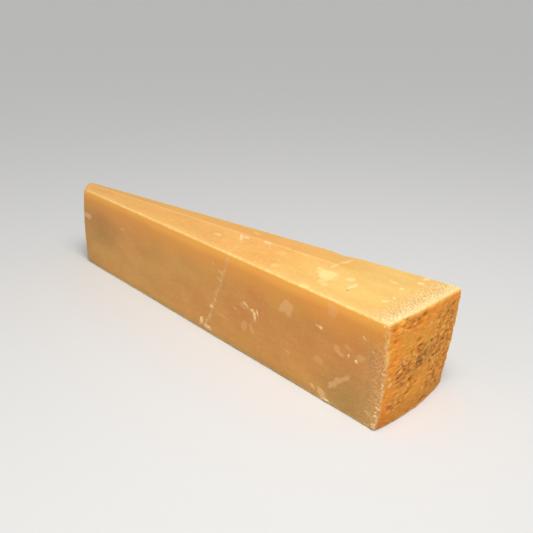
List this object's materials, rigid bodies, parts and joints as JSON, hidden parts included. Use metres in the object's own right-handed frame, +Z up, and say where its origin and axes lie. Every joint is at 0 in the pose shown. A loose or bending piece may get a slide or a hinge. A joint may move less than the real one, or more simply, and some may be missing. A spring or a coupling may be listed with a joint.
{
  "type": "wedge of hard aged cheese",
  "caption": "Long narrow wedge of hard aged cheese with flat knife cuts, a blunt tip and a pitted golden rind.",
  "frame": {"origin": "centre of the bounding box on the base that the wedge lies on", "axes": "+X along the wedge from its tip to its rind, +Z up, the near knife cut faces -Y"},
  "size_m": [0.1738, 0.0342, 0.0325],
  "materials": {
    "aged_cheese": "smooth waxy golden cream paste, with an orange-brown pitted rind at the wide end"
  },
  "bodies": {
    "root": {"cheese": "aged_cheese"}
  },
  "joints": []
}
